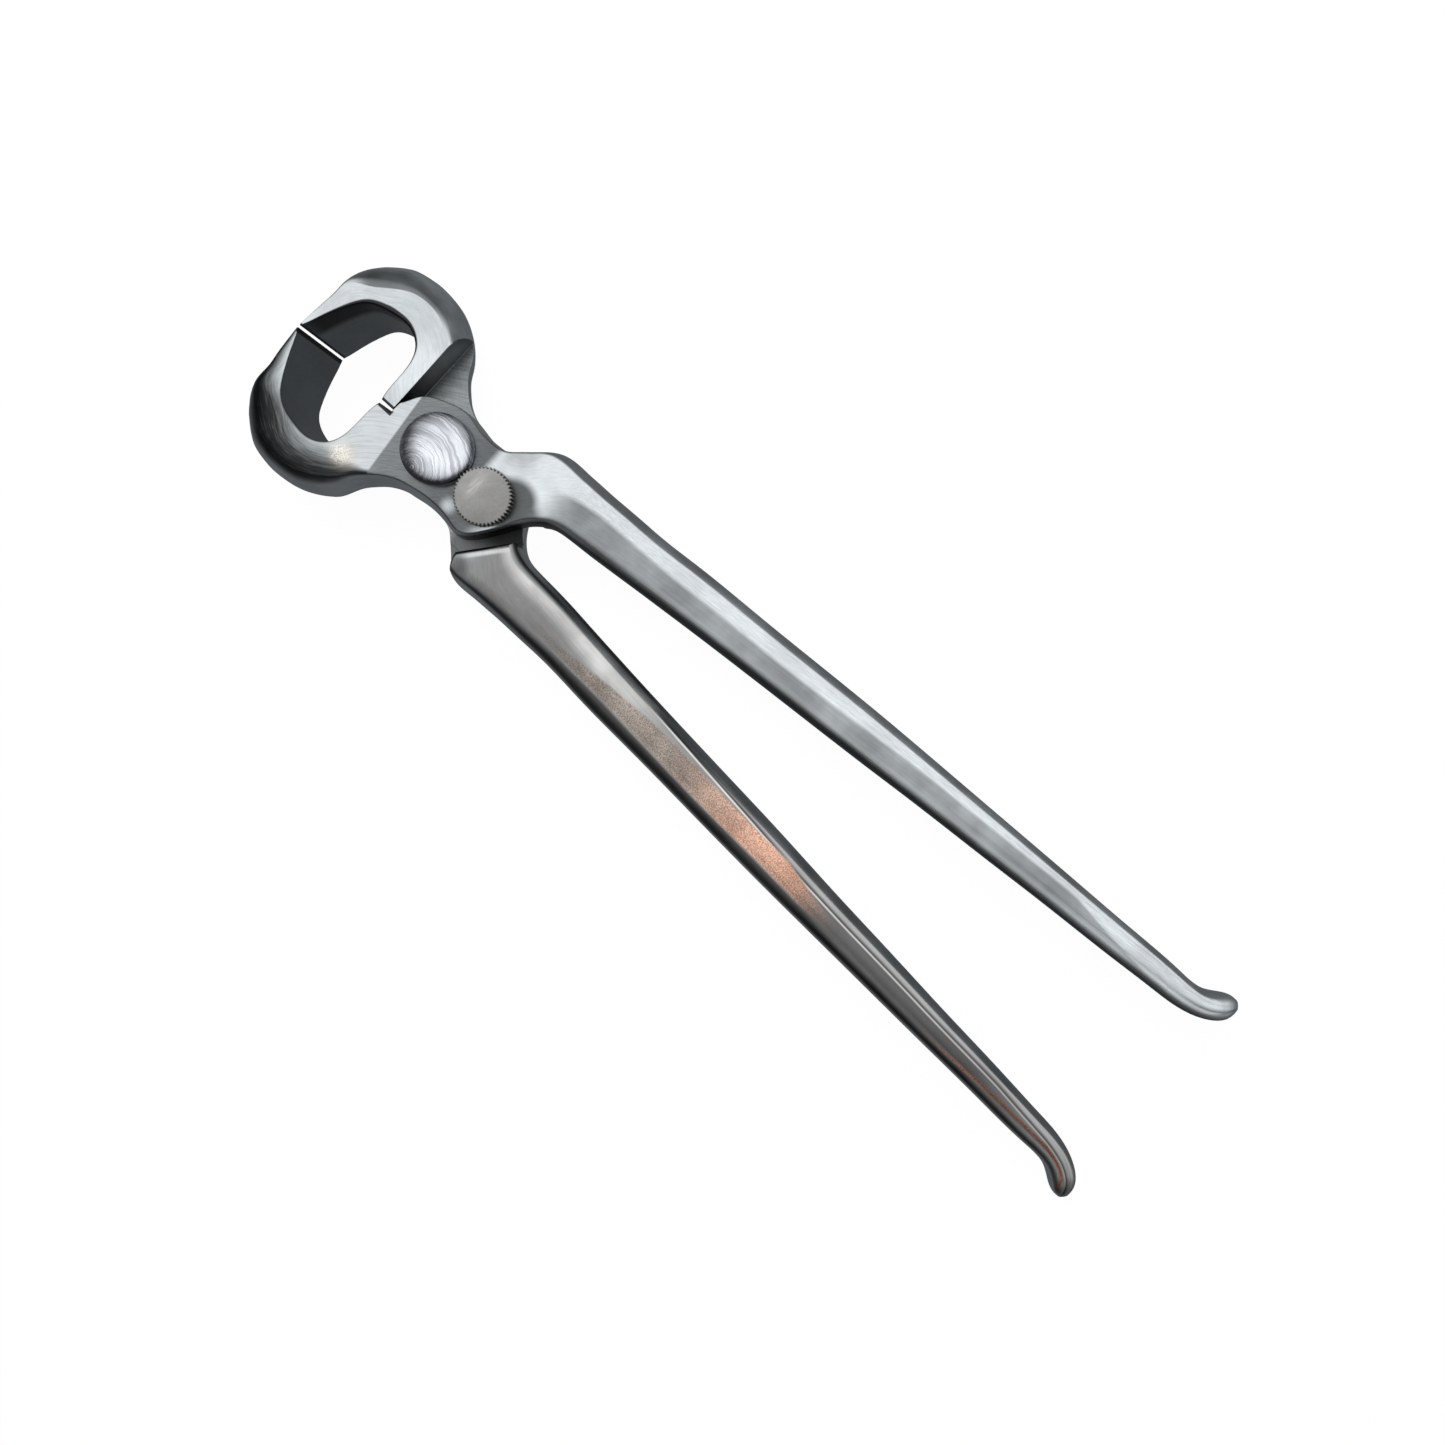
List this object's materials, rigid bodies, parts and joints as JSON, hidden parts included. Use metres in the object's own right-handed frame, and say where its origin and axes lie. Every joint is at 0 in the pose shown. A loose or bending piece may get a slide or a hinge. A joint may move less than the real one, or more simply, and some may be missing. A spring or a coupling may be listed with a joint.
{
  "type": "hoof nipper",
  "caption": "Long-handled hand nipper with two curved cutting jaws on a bolted lap joint and a knurled closing-stop screw, for trimming hoof wall.",
  "frame": {"origin": "centre of the pivot bolt's flat tail face, on the pivot axis", "axes": "+Z along the pivot axis towards the domed bolt head, +Y forward from the pivot to the cutting edges, +X to the right-hand side with the domed head facing the viewer and the jaws up; the reins run towards -Y"},
  "size_m": [0.0832, 0.3558, 0.0326],
  "materials": {
    "forged_steel_front": "belt-ground forged tool steel, satin, with fine lengthwise grinding lines",
    "forged_steel_rear": "belt-ground forged tool steel, satin, slightly darker, with faint brown heat tint on the rein",
    "bolt_steel": "turned and polished steel with fine arc marks on the dome",
    "washer_steel": "plain ground steel",
    "spring_steel": "dark oiled spring steel",
    "nut_steel": "plain turned steel",
    "knurled_steel": "matte warm grey steel with a knurled rim",
    "lock_washer_steel": "dark oiled spring steel"
  },
  "bodies": {
    "rear": {"rear_half": "forged_steel_rear"},
    "front": {"front_half": "forged_steel_front", "pivot_bolt": "bolt_steel", "thrust_washer": "washer_steel", "disc_spring": "spring_steel", "pivot_nut": "nut_steel", "stop_spring_washer": "lock_washer_steel"},
    "stop_screw": {"stop_screw": "knurled_steel"}
  },
  "joints": [
    {"name": "jaw_pivot", "type": "hinge", "parent": "rear", "child": "front", "pos_m": [0, 0, 0], "axis": [0, 0, 1], "range_deg": [-0.65, 55]},
    {"name": "stop_screw_turn", "type": "hinge", "parent": "front", "child": "stop_screw", "pos_m": [-0.00105, -0.02042, 0], "axis": [0, 0, 1], "range_deg": [-360, 360]}
  ]
}
